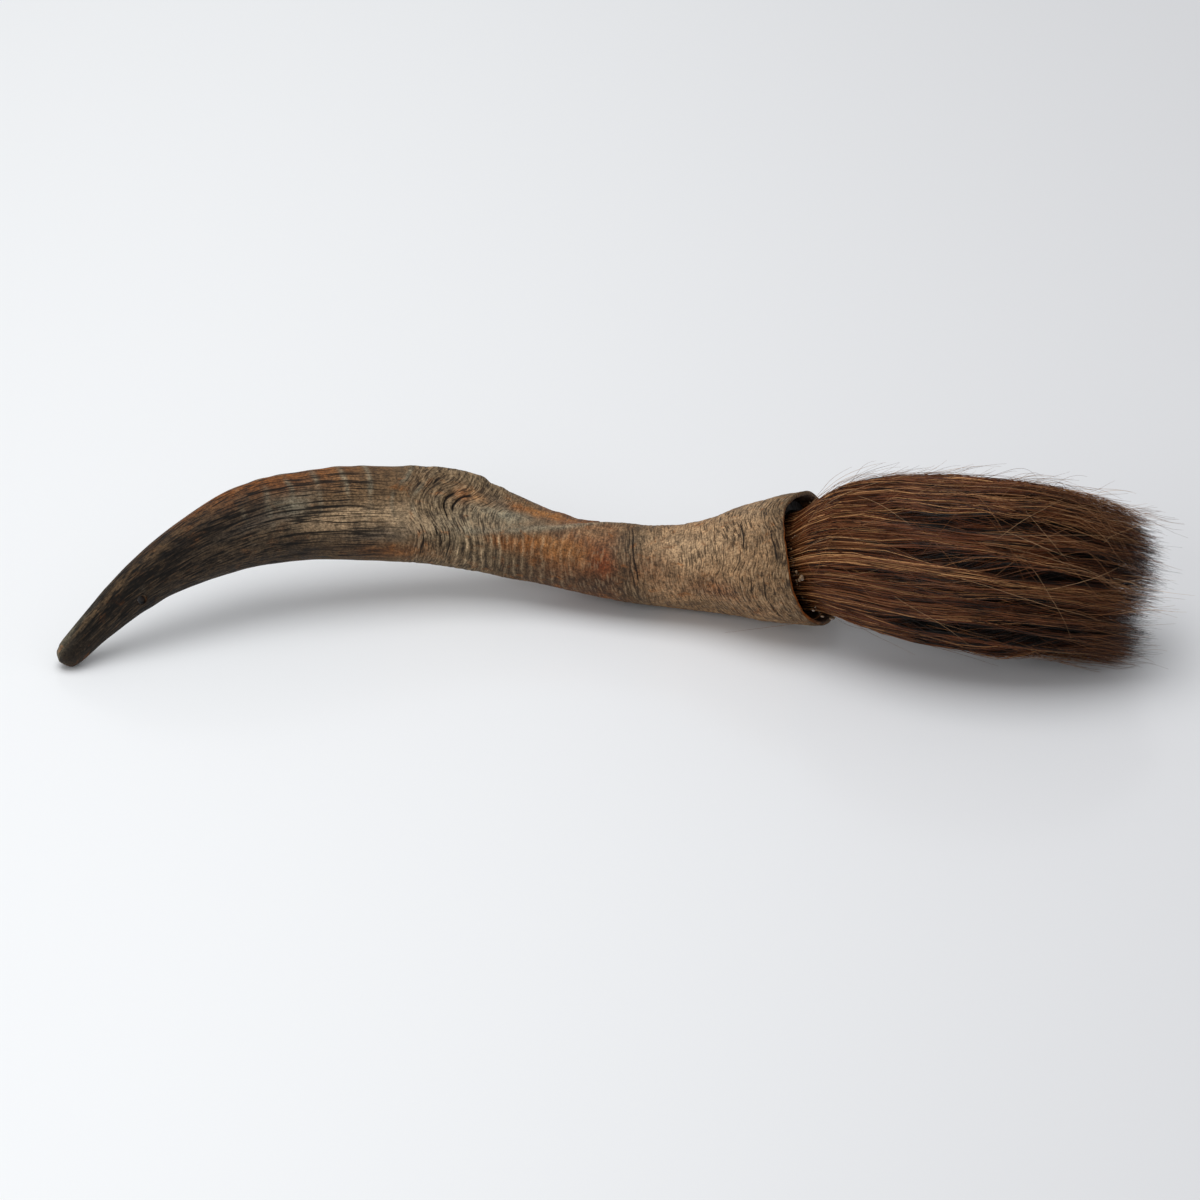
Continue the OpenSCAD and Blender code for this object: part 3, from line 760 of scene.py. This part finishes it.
def strand_piece(name, paths, radii, tones, taper=0.2):
    """One mesh of three-sided tapered strands along paths."""
    number, steps = paths.shape[:2]
    run = unit(np.gradient(paths, axis=1))
    spin = np.arange(number) * 2.4
    lean_to = unit(np.stack([np.full(number, 0.2), np.cos(spin), np.sin(spin)], axis=-1))
    side_a = unit(np.cross(run, lean_to[:, None, :]))
    side_b = np.cross(run, side_a)
    along = np.linspace(0, 1, steps)
    thin = radii[:, None] * (1 - (1 - taper) * ease(0.55, 1, along))[None, :]
    corners = []
    for k in range(3):
        turn = math.tau * k / 3
        corners.append(paths + thin[..., None] * (math.cos(turn) * side_a + math.sin(turn) * side_b))
    points = np.stack(corners, axis=2).reshape(-1, 3)
    one = tube_faces(steps, 3)
    quads = (one[None] + (np.arange(number) * steps * 3)[:, None, None]).reshape(-1, 4).tolist()
    first = np.arange(number) * steps * 3
    last = first + (steps - 1) * 3
    caps = [np.stack([first, first + 2, first + 1], 1), np.stack([last, last + 1, last + 2], 1)]
    piece = mesh_piece(name, points, quads + np.concatenate(caps).tolist())
    # In the bake map each strand has its own small cell: sides across, length down.
    cells = math.ceil(math.sqrt(number))
    corner = np.stack([np.arange(number) % cells, np.arange(number) // cells], axis=-1)[:, None, None, :]
    ring, side = np.divmod(np.arange((steps - 1) * 3), 3)
    across_cell = np.stack([side, side + 1, side + 1, side], axis=-1) / 3
    down_cell = np.stack([ring, ring, ring + 1, ring + 1], axis=-1) / (steps - 1)
    quad_spots = corner + np.stack([0.08 + 0.84 * across_cell, 0.12 + 0.76 * down_cell], axis=-1)
    cap_spots = [corner[:, :, 0] + [[0.1, y], [0.5, y + 0.05], [0.9, y]] for y in (0.03, 0.92)]
    spots = np.concatenate([quad_spots.reshape(-1, 2)] + [cap.reshape(-1, 2) for cap in cap_spots])
    lay_map(piece, spots / cells)
    tones = np.broadcast_to(tones.reshape(number, -1), (number, steps))
    put_values(piece, "tone", np.repeat(tones.ravel(), 3))
    put_values(piece, "grown", np.tile(np.repeat(along, 3), number))
    return piece


# Each band of strands from the bottom up, and the CAD lock that it stands for.
HAIR_LOCKS = ["hair_lower_lock", "hair_middle_lock", "hair_upper_lock"]
HAIR_PARTS = {f"hair_band_{k + 1}": HAIR_LOCKS[k // 2] for k in range(2 * len(HAIR_LOCKS))}
paths = rest_on_floor(paths, 0.2)
height_order = np.argsort(up_share[:, 9])
parts = np.array_split(height_order, len(HAIR_PARTS))
tone_with_painted_shade = strand_tone[:, None] - painted_depth_shade
hair_pieces = []
for name, part in zip(HAIR_PARTS, parts):
    hair_pieces.append(strand_piece(name, paths[part], strand_r[part], tone_with_painted_shade[part]))


# Strays: single hairs that lift off the tuft, lie across it or stick out past its end.
def stray_set(number, start, run, lift, drift, curl, wave, top_only=False):
    """Paths of single hairs. Each pair is a lowest and highest value, in millimetres."""
    turn = draw.uniform(0, math.tau, number)
    if top_only:
        turn = draw.normal(math.pi / 2, 0.7, number)
    from_x = draw.uniform(*start, number)
    to_x = np.minimum(from_x + draw.uniform(*run, number), draw.uniform(100, 113, number))
    x = mix(from_x[:, None], to_x[:, None], t)
    turn = turn[:, None] + draw.normal(0, drift, number)[:, None] * t
    rise = draw.uniform(*lift, number)[:, None] * t ** draw.uniform(0.8, 2.2, number)[:, None]
    phase = draw.uniform(0, math.tau, number)[:, None]
    curl_size = draw.uniform(*curl, number)[:, None]
    wave_size = draw.uniform(*wave, number)[:, None]
    swirl = curl_size * np.sin(x / wave_size + phase) * np.sqrt(t)
    out = rise + 0.6 * swirl
    c, s = np.cos(turn), np.sin(turn)
    return hair_points(x, c, s, out * c - swirl * s, out * s + swirl * c)


stray_paths = np.concatenate([
    stray_set(120, (0, 78), (12, 36), (0.4, 4.5), 0.26, (0.4, 2.0), (4, 10)),
    stray_set(210, (2, 84), (7, 24), (0.8, 7.0), 0.5, (0.5, 2.8), (3.2, 8), True),
    stray_set(50, (14, 60), (22, 44), (0.2, 0.9), 0.4, (0.4, 1.5), (4, 10)),
    stray_set(170, (62, 90), (14, 30), (0.1, 3.4), 0.24, (0.3, 1.4), (4, 10)),
])
mouth_axes = [a[0] for a in lip_axes]


def by_mouth(angle, radius, out):
    """A point beside the mouth: angle round it, distance from its middle, distance out of it."""
    a = math.radians(angle)
    mid, run, up, front = mouth_axes
    return mid + out * run + radius * (math.cos(a) * up + math.sin(a) * front)


# Strays beside the mouth, listed as knots of angle, distance from its middle, distance out of it.
MOUTH_STRAYS = [
    [(150, 16, 5), (152, 19, 6), (150, 22, 3), (146, 24, -4), (142, 26, -12), (138, 28.5, -22)],
    [(172, 16, 6), (176, 19, 8), (182, 21.5, 12), (178, 23, 19), (168, 24, 24)],
    [(75, 15.5, 0), (72, 17.4, 2), (70, 18.6, 8), (66, 19.6, 18), (64, 21.4, 27)],
    [(84, 15.5, -1), (82, 17.6, 2), (86, 18.4, 7), (93, 19.2, 13), (99, 20, 20)],
    [(118, 15.5, 2), (118, 18, 5), (121, 19, 10), (126, 20, 18), (128, 22, 24)],
    [(12, 16, 2), (10, 19, 8), (8, 22, 18), (7, 25, 30)],
]
side_strays = []
for row in MOUTH_STRAYS:
    knots = np.array([by_mouth(*knot) for knot in row])
    side_strays.append(through(knots, np.linspace(0, len(row) - 1, STRAND_STEPS)))
stray_paths = np.concatenate([stray_paths, np.array(side_strays)])
box_low, box_high = np.array(CAD_BOX[0]) * 1000 - SHIFT, np.array(CAD_BOX[1]) * 1000 - SHIFT
# Loose hairs may stand a little proud of the CAD box, as fibre does.
STRAY_ROOM = np.array([13, 6, 7])
stray_paths = np.clip(stray_paths, box_low - STRAY_ROOM, box_high + STRAY_ROOM)
stray_paths = rest_on_floor(stray_paths, 0.25)
stray_tones = draw.normal(0.5, 0.22, len(stray_paths))
STRAY_R = 0.05
stray_radii = np.full(len(stray_paths), STRAY_R)
strays = strand_piece("hair_strays", stray_paths, stray_radii, stray_tones, 0.5)

# Packed inner hair, which closes the view through the strands and runs down into the root. Its near-black
# tones are painted shade deep in the tuft.
CORE_SIDES = 120
CORE_SHARE = [(-26, 1), (-4, 0.96), (4, 0.9), (14, 0.84), (60, 0.8), (76, 0.7), (84, 0.5), (88, 0.3)]
core_x = np.concatenate([np.arange(-23.8, 0, 1.4), np.arange(0, 88.1, 1.6)])
core_turn = np.arange(CORE_SIDES) * math.tau / CORE_SIDES
core_cos, core_sin = np.cos(core_turn), np.sin(core_turn)
core_share = along_line(CORE_SHARE, core_x)[:, None]
fluted = np.stack(np.broadcast_arrays(core_x[:, None] / 40, core_cos, core_sin), axis=-1)
flute = 0.7 * noise(fluted, (1, 0.07, 0.07), 30) + 0.5 * noise(fluted, (0.6, 0.2, 0.2), 31)
flute *= ease(-6, 12, core_x)[:, None]
core_lay = np.stack(np.broadcast_arrays(core_x[:, None], 24 * core_cos, 24 * core_sin), axis=-1)
core_shares = core_share * core_cos, core_share * core_sin
core_rings = hair_points(core_lay[..., 0], *core_shares, flute * core_cos, flute * core_sin)
core_rings = rest_on_floor(core_rings, 0.6)
core_ends = [core_rings[0].mean(axis=0), core_rings[-1].mean(axis=0)]
core_points = np.concatenate([core_rings.reshape(-1, 3), core_ends])
core_faces = tube_faces(len(core_x), CORE_SIDES).tolist() + fan_faces(len(core_x), CORE_SIDES)
core = mesh_piece("hair_core", core_points, core_faces)
put_values(core, "lay", with_ends(core_lay))

# ---- glue at the lip
# Angle, distance from the middle, distance out of the mouth, length round the lip, thickness.
GLUE_DROPS = [
    (110, 17.5, 3.0, 0.9, 0.75), (113, 17.2, 1.8, 0.5, 0.4), (104, 17.3, 1.4, 0.5, 0.35),
    (152, 18.0, 3.0, 0.6, 0.4), (168, 18.2, 4.0, 0.7, 0.45), (178, 18.5, 6.0, 0.8, 0.8),
    (186, 18.4, 5.4, 0.6, 0.5), (300, 17.4, 0, 0.6, 0.4), (262, 17.5, 0.4, 0.8, 0.45),
    (232, 17.6, 1.2, 0.6, 0.4),
]
# Loose crumbs: middle angle, spread of the angle, how many.
GLUE_CRUMBS = [(108, 8, 18), (160, 16, 18), (70, 22, 8), (250, 60, 12)]
BALL_ROWS, BALL_SIDES = 9, 14
BALL_LUMPS = 0.28
glue_points, glue_faces = [], []


def add_drop(middle, ways, sizes, seed):
    """Adds one lumpy drop of glue, with its half size along each of three ways."""
    glue_faces.extend(tube_faces(BALL_ROWS, BALL_SIDES, len(glue_points)).tolist())
    glue_faces.extend(cap_faces(BALL_ROWS, BALL_SIDES, len(glue_points)))
    for i in range(BALL_ROWS):
        polar = math.pi * (0.04 + 0.92 * i / (BALL_ROWS - 1))
        wide = math.sin(polar)
        for k in range(BALL_SIDES):
            turn = math.tau * k / BALL_SIDES
            d = np.array([math.cos(polar), wide * math.cos(turn), wide * math.sin(turn)])
            d = d * (1 + BALL_LUMPS * noise(d + seed, 0.7, seed)) * sizes
            glue_points.append(middle + d @ ways)


glue_draw = np.random.default_rng(8)
crumbs = []
for middle_angle, spread_angle, number in GLUE_CRUMBS:
    for angle in glue_draw.normal(middle_angle, spread_angle, number):
        out = 2.6 * glue_draw.random() ** 2 + 2.6 * hump(turn_gap(angle, 165), 0, 34)
        length = 0.1 + 0.3 * glue_draw.random() ** 2
        radius = 16.2 + 1.2 * glue_draw.random()
        crumbs.append((angle, radius, out, length, 0.1 + 0.1 * glue_draw.random()))
way_out = mouth_axes[1]
for number, (angle, radius, out, length, thick) in enumerate(GLUE_DROPS + crumbs):
    middle = by_mouth(angle, radius, out)
    outward = unit(by_mouth(angle, radius + 1, out) - middle)
    sizes = (length, thick * 1.1, thick * 0.7)
    add_drop(middle, np.array([np.cross(outward, way_out), way_out, outward]), sizes, number)
glue = mesh_piece("glue_drops", np.array(glue_points), [f[::-1] for f in glue_faces])


# ---- materials
class Look:
    """A node material with one Principled shader, and short ways to add to it."""

    def __init__(self, name, **fixed):
        self.material = bpy.data.materials.new(name)
        self.material.use_nodes = True
        self.tree = self.material.node_tree
        self.tree.nodes.clear()
        self.shader = self.tree.nodes.new("ShaderNodeBsdfPrincipled")
        out = self.tree.nodes.new("ShaderNodeOutputMaterial")
        self.tree.links.new(self.shader.outputs[0], out.inputs[0])
        for key, value in fixed.items():
            self.shader.inputs[key.replace("_", " ")].default_value = value

    def feed(self, socket, value):
        if isinstance(value, bpy.types.NodeSocket):
            self.tree.links.new(value, socket)
        elif isinstance(value, np.ndarray):
            socket.default_value = tuple(value) + (1,)
        else:
            socket.default_value = value

    def add(self, kind, inputs, **settings):
        node = self.tree.nodes.new("ShaderNode" + kind)
        for key, value in settings.items():
            setattr(node, key, value)
        for key, value in inputs.items():
            self.feed(node.inputs[key], value)
        return node

    def value(self, name, out="Fac"):
        return self.add("Attribute", {}, attribute_name=name).outputs[out]

    def stretch(self, vector, sizes):
        """The vector divided by a feature size along each axis."""
        scale = tuple(1 / s for s in sizes)
        return self.add("VectorMath", {0: vector, 1: scale}, operation="MULTIPLY").outputs[0]

    def noise(self, vector, sizes, detail=3.0, rough=0.55, distort=0.0):
        """Noise with features of the given size along each axis."""
        at = self.stretch(vector, sizes)
        inputs = {"Vector": at, "Scale": 1.0, "Detail": detail, "Roughness": rough, "Distortion": distort}
        return self.add("TexNoise", inputs).outputs["Fac"]

    def span(self, value, low, high, to_low=0.0, to_high=1.0):
        inputs = {"Value": value, "From Min": low, "From Max": high, "To Min": to_low, "To Max": to_high}
        return self.add("MapRange", inputs, interpolation_type="SMOOTHSTEP").outputs[0]

    def math(self, operation, a, b):
        return self.add("Math", {0: a, 1: b}, operation=operation).outputs[0]

    def times(self, a, b):
        return self.math("MULTIPLY", a, b)

    def mix(self, amount, a, b, blend="MIX"):
        node = self.add("Mix", {0: amount, 6: a, 7: b}, data_type="RGBA", blend_type=blend)
        return node.outputs[2]

    def over(self, tone, mask, strength, name):
        """Lays a palette colour over the tone where the mask is set."""
        return self.mix(self.times(mask, strength), tone, colour(name))

    def bump(self, height, strength, distance):
        inputs = {"Height": height, "Strength": strength, "Distance": distance}
        return self.add("Bump", inputs).outputs[0]

    def finish(self, colour_out, rough=None, normal=None):
        """Joins colour, roughness and normal to the shader, and gives the material."""
        self.feed(self.shader.inputs["Base Color"], colour_out)
        if rough:
            self.feed(self.shader.inputs["Roughness"], rough)
        if normal:
            self.feed(self.shader.inputs["Normal"], normal)
        return self.material


def horn_look():
    look = Look("weathered_horn", IOR=1.5, Specular_IOR_Level=0.15)
    straight_at = look.value("straight", "Vector")
    ringed_at = look.value("ringed", "Vector")
    tint_at = look.value("tint", "Color")
    lines_at, fibre_at, crack_at = look.value("lines"), look.value("fibre"), look.value("crack")
    fine_lines = look.noise(ringed_at, (0.55, 3.2, 3.2), 2.0, 0.6)
    hair_lines = look.noise(ringed_at, (0.3, 1.7, 1.7), 1.0)
    fine_fibres = look.noise(straight_at, (12, 0.5, 0.5), 2.0, 0.6)
    dark_fibres = look.noise(straight_at, (26, 1.0, 1.0), 2.0, 0.5)
    mottle = look.noise(straight_at, (2.6, 2.6, 2.6), 5.0, 0.62)
    grit = look.noise(straight_at, (0.8, 0.6, 0.6), 3.0, 0.75)
    warm = look.noise(straight_at, (5, 3.4, 3.4), 4.0, 0.6, distort=0.6)
    # Blotches of rust and ash on the listed tints.
    rusty = look.times(look.span(warm, 0.55, 0.74, 0, 0.62), look.span(fibre_at, 0, 1, 1, 0.3))
    tone = look.mix(rusty, tint_at, colour("rust"))
    tone = look.mix(look.span(warm, 0.42, 0.26, 0, 0.34), tone, colour("dust"))
    shade = look.span(mottle, 0.28, 0.72, 0.6, 1.42)
    tone = look.mix(1.0, tone, shade, "MULTIPLY")
    grain = look.span(grit, 0.3, 0.7, 0.45, 1.55)
    tone = look.mix(0.95, tone, grain, "MULTIPLY")
    # Growth lines: dark grooves and light edges.
    groove = look.times(look.span(fine_lines, 0.49, 0.37), lines_at)
    tone = look.over(tone, groove, 0.8, "line_groove")
    light = look.times(look.span(fine_lines, 0.53, 0.66), lines_at)
    tone = look.over(tone, light, 0.42, "line_light")
    thread = look.times(look.span(hair_lines, 0.46, 0.36), lines_at)
    tone = look.over(tone, thread, 0.4, "line_thread")
    # Fibres: dark lengthwise streaks with lighter threads between them.
    streak = look.times(look.span(fine_fibres, 0.5, 0.38), fibre_at)
    tone = look.over(tone, streak, 0.9, "black_groove")
    slit = look.times(look.span(dark_fibres, 0.43, 0.37), fibre_at)
    tone = look.over(tone, slit, 0.85, "black_slit")
    gleam = look.times(look.span(fine_fibres, 0.55, 0.68), fibre_at)
    tone = look.over(tone, gleam, 0.26, "fibre_light")
    tone = look.mix(look.span(crack_at, 0.25, 0.75, 0, 0.95), tone, colour("crack"))
    height = look.times(fine_lines, lines_at)
    for part, share in [(fine_fibres, fibre_at), (grit, 0.35), (mottle, 0.4)]:
        height = look.math("ADD", height, look.times(part, share))
    rough = look.span(mottle, 0.3, 0.7, 0.5, 0.72)
    return look.finish(tone, rough, look.bump(height, 0.75, 0.00045))


def hair_look(name, dark, middle, light):
    look = Look(name, IOR=1.55, Specular_IOR_Level=0.26)
    # The tuft's tone values already hold painted shade at depth and in the partings.
    tone_at, grown_at = look.value("tone"), look.value("grown")
    place = look.add("TexCoord", {}).outputs["Object"]
    patch = look.noise(place, (0.011, 0.011, 0.011), 3.0)
    tone = look.math("ADD", tone_at, look.span(patch, 0.3, 0.7, -0.14, 0.14))
    tone = look.mix(look.span(tone, 0.05, 0.55), dark, middle)
    tone = look.mix(look.span(tone_at, 0.52, 1.0), tone, light)
    # Darker near the root, inside the mouth and just out of it.
    root_darkening = look.span(grown_at, 0.0, 0.16, 0.7, 1.0)
    tone = look.mix(1.0, tone, root_darkening, "MULTIPLY")
    tone = look.mix(1.0, tone, look.span(grown_at, 0.55, 0.95, 1.0, 0.72), "MULTIPLY")
    rough = look.span(tone_at, 0.2, 0.9, 0.34, 0.5)
    return look.finish(tone, rough)


def core_look():
    look = Look("packed_hair_painted_shade", Specular_IOR_Level=0.35)
    lay_at = look.value("lay", "Vector")
    streak = look.noise(lay_at, (16, 0.4, 0.4), 3.0, 0.6)
    clumps = look.noise(lay_at, (30, 2.6, 2.6), 2.0)
    # Dark streaks and darker clumps: painted shade of hair deep in the tuft.
    tone = look.mix(look.span(streak, 0.3, 0.7), colour((14, 8, 5)), colour((58, 32, 18)))
    tone = look.mix(look.span(clumps, 0.3, 0.6, 0.65, 0.0), tone, colour((10, 6, 4)))
    return look.finish(tone, look.span(streak, 0.3, 0.7, 0.6, 0.45), look.bump(streak, 0.8, 0.0004))


def lumpy_look(name, dark, light, size, rough_low, rough_high, depth, **fixed):
    """A poured or set material: two tones in blotches, uneven gloss and a lumpy surface."""
    look = Look(name, **fixed)
    place = look.add("TexCoord", {}).outputs["Object"]
    blotch = look.noise(place, (size, size, size), 4.0, 0.6)
    ripple = look.noise(place, (size / 4, size / 4, size / 4), 3.0)
    tone = look.mix(look.span(blotch, 0.3, 0.7), colour(dark), colour(light))
    rough = look.span(ripple, 0.3, 0.7, rough_low, rough_high)
    return look.finish(tone, rough, look.bump(ripple, 0.6, depth))


def thread_look():
    look = Look("waxed_thread", Specular_IOR_Level=0.4, Sheen_Weight=0.15)
    place = look.add("TexCoord", {}).outputs["Object"]
    twist = {"Vector": place, "Scale": 900.0, "Distortion": 1.5, "Detail": 2.0}
    ply = look.add("TexWave", twist, bands_direction="DIAGONAL").outputs["Fac"]
    tone = look.mix(look.span(ply, 0.2, 0.8), colour((120, 104, 76)), colour((196, 180, 146)))
    return look.finish(tone, look.span(ply, 0.2, 0.8, 0.7, 0.5), look.bump(ply, 0.6, 0.0002))


def wear(piece, material):
    piece.data.materials.clear()
    piece.data.materials.append(material)


wear(horn, horn_look())
strand_look = hair_look("chestnut_hair", colour((16, 7, 3)), colour((114, 61, 30)), colour((222, 166, 110)))
for piece in hair_pieces:
    wear(piece, strand_look)
wear(strays, hair_look("loose_hair", colour((84, 48, 26)), colour((142, 94, 56)), colour((206, 168, 126))))
wear(core, core_look())
clear = {"IOR": 1.47, "Transmission_Weight": 0.3}
wear(glue, lumpy_look("dried_glue", (84, 58, 36), (168, 136, 98), 0.0012, 0.35, 0.6, 0.0002, **clear))
dull = {"Specular_IOR_Level": 0.2}
carried = {
    "glue_bed": lumpy_look("set_glue", (12, 8, 5), (32, 21, 13), 0.004, 0.5, 0.75, 0.0004, **dull),
    "rosin_seal": lumpy_look("cast_rosin", (92, 50, 14), (150, 94, 34), 0.005, 0.12, 0.3, 0.0002),
    "root_binding": thread_look(),
}
for node_name, material in carried.items():
    node = frame["nodes"][node_name]
    if not node.material_slots:
        node.data.materials.append(material)
    for material_slot in node.material_slots:
        material_slot.material = material

# ---- motion
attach(horn, "handle")
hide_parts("horn")
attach(glue, "handle")
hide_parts("glue_beads")
stands_for = HAIR_PARTS | {"hair_core": "hair_root"}
for piece in hair_pieces + [core, strays]:
    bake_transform(piece)
    if piece.name in stands_for:
        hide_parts(stands_for[piece.name])

# ---- floor, light and camera
FLOOR_HALF = 9.0
floor_mesh = bpy.data.meshes.new("floor")
corners = [(-1, -1), (1, -1), (1, 1), (-1, 1)]
floor_mesh.from_pydata([(FLOOR_HALF * a, FLOOR_HALF * b, 0) for a, b in corners], [], [(0, 1, 2, 3)])
floor = bpy.data.objects.new("floor", floor_mesh)
bpy.context.scene.collection.objects.link(floor)
floor_look = Look("pale_floor", Roughness=0.2, Specular_IOR_Level=0.45)
floor_place = floor_look.add("TexCoord", {}).outputs["Object"]
# Painted light fall-off: the floor is lighter at the left and greyer towards the right.
floor_x = floor_look.add("SeparateXYZ", {0: floor_place}).outputs[0]
painted_falloff = floor_look.span(floor_x, -0.2, 0.3)
floor_tone = floor_look.mix(painted_falloff, colour((251, 253, 255)), colour((228, 229, 232)))
floor_mesh.materials.append(floor_look.finish(floor_tone))

ROOM_LEVEL = 0.45
world = bpy.data.worlds.new("studio")
bpy.context.scene.world = world
world.use_nodes = True
sky = world.node_tree
sky.nodes.clear()
SKY_NODES = ["Background", "Background", "MixShader", "LightPath", "OutputWorld"]
room_light, seen, choose, ray, sky_out = [sky.nodes.new("ShaderNode" + kind) for kind in SKY_NODES]
room_light.inputs["Color"].default_value = (0.985, 0.99, 1, 1)
room_light.inputs["Strength"].default_value = ROOM_LEVEL
seen.inputs["Color"].default_value = (0.86, 0.87, 0.88, 1)
sky.links.new(ray.outputs["Is Camera Ray"], choose.inputs[0])
sky.links.new(room_light.outputs[0], choose.inputs[1])
sky.links.new(seen.outputs[0], choose.inputs[2])
sky.links.new(choose.outputs[0], sky_out.inputs[0])


def softbox(name, place, aim, width, height, power):
    """A rectangular lamp at a place, turned to face another; sizes in metres, power in watts."""
    lamp = bpy.data.lights.new(name, "AREA")
    lamp.shape = "RECTANGLE"
    lamp.size, lamp.size_y = width, height
    lamp.energy = power
    box = bpy.data.objects.new(name, lamp)
    box.location = place
    box.rotation_euler = (Vector(aim) - Vector(place)).to_track_quat("-Z", "Y").to_euler()
    bpy.context.scene.collection.objects.link(box)


softbox("key", (-0.24, 0.04, 1.25), (0, 0, 0), 1.15, 1.0, 9.2)
softbox("front_fill", (-0.7, -1.1, 0.8), (0, 0, 0.02), 0.9, 0.6, 3.6)

bpy.context.scene.view_settings.view_transform = "Standard"
LENS = 400
SENSOR = 36
VIEW_WIDTH = 0.3647
VIEW_TILT = math.radians(30)
LOOK_AT = Vector((-0.00087, 0, 0.01115))
camera_data = bpy.data.cameras.new("camera")
camera_data.lens = LENS
camera_data.sensor_width = SENSOR
camera_data.clip_end = 30
camera = bpy.data.objects.new("camera", camera_data)
bpy.context.scene.collection.objects.link(camera)
back = Vector((0, -math.cos(VIEW_TILT), math.sin(VIEW_TILT)))
camera.location = LOOK_AT + back * VIEW_WIDTH * LENS / SENSOR
camera.rotation_euler = (-back).to_track_quat("-Z", "Y").to_euler()
bpy.context.scene.camera = camera
